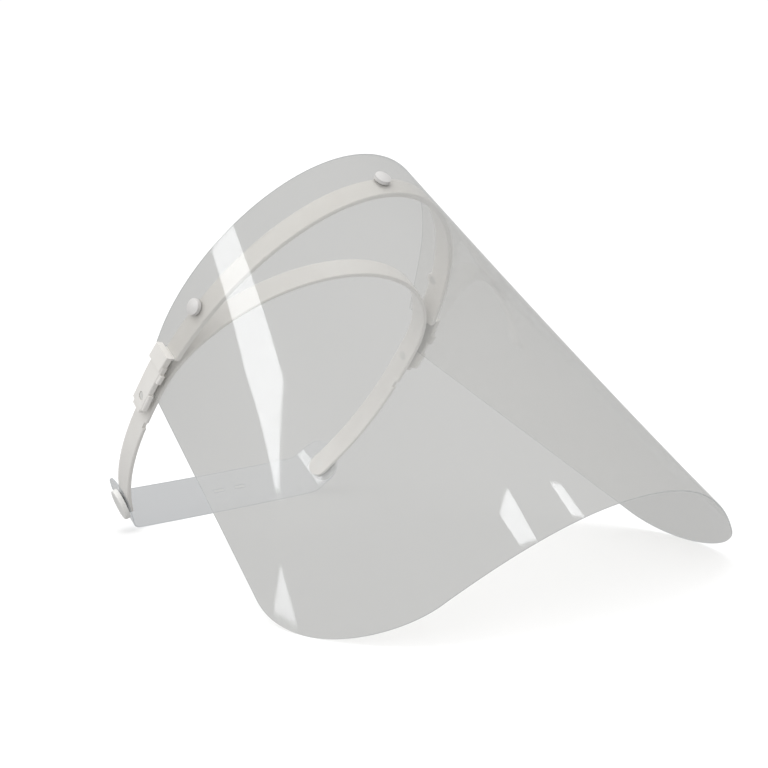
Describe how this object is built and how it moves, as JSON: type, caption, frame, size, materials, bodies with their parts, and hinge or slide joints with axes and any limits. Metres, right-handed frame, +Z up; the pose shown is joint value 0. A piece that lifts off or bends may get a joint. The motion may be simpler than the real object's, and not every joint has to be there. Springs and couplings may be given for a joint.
{
  "type": "face shield",
  "caption": "Face shield: clear flip-up visor on a white plastic bow, hinged to a forehead headband closed by a clear rear strap, resting face-up on strap and film corners.",
  "frame": {"origin": "centre of the footprint on the surface the shield rests on", "axes": "+Z up from the surface it rests on; +X to the wearer's left, along the hinge line; +Y from the film's chin edge towards the rear strap"},
  "size_m": [0.2632, 0.3488, 0.2101],
  "materials": {
    "white_plastic": "satin moulded",
    "pin_plastic": "satin moulded",
    "button_plastic": "semi-gloss",
    "clear_film": "clear, glossy",
    "clear_strap": "clear, glossy"
  },
  "bodies": {
    "headband": {"headband": "white_plastic", "hinge_pin_right": "pin_plastic", "hinge_pin_left": "pin_plastic", "rear_strap": "clear_strap", "strap_stud_right": "white_plastic", "strap_stud_left": "white_plastic"},
    "visor": {"visor_bow": "white_plastic", "visor_film": "clear_film", "film_button_front": "button_plastic", "film_button_right": "button_plastic", "film_button_left": "button_plastic"}
  },
  "joints": [
    {"name": "visor_flip", "type": "hinge", "parent": "headband", "child": "visor", "pos_m": [0, 0.09544, 0.08667], "axis": [-1, 0, 0], "range_deg": [0, 85]}
  ]
}
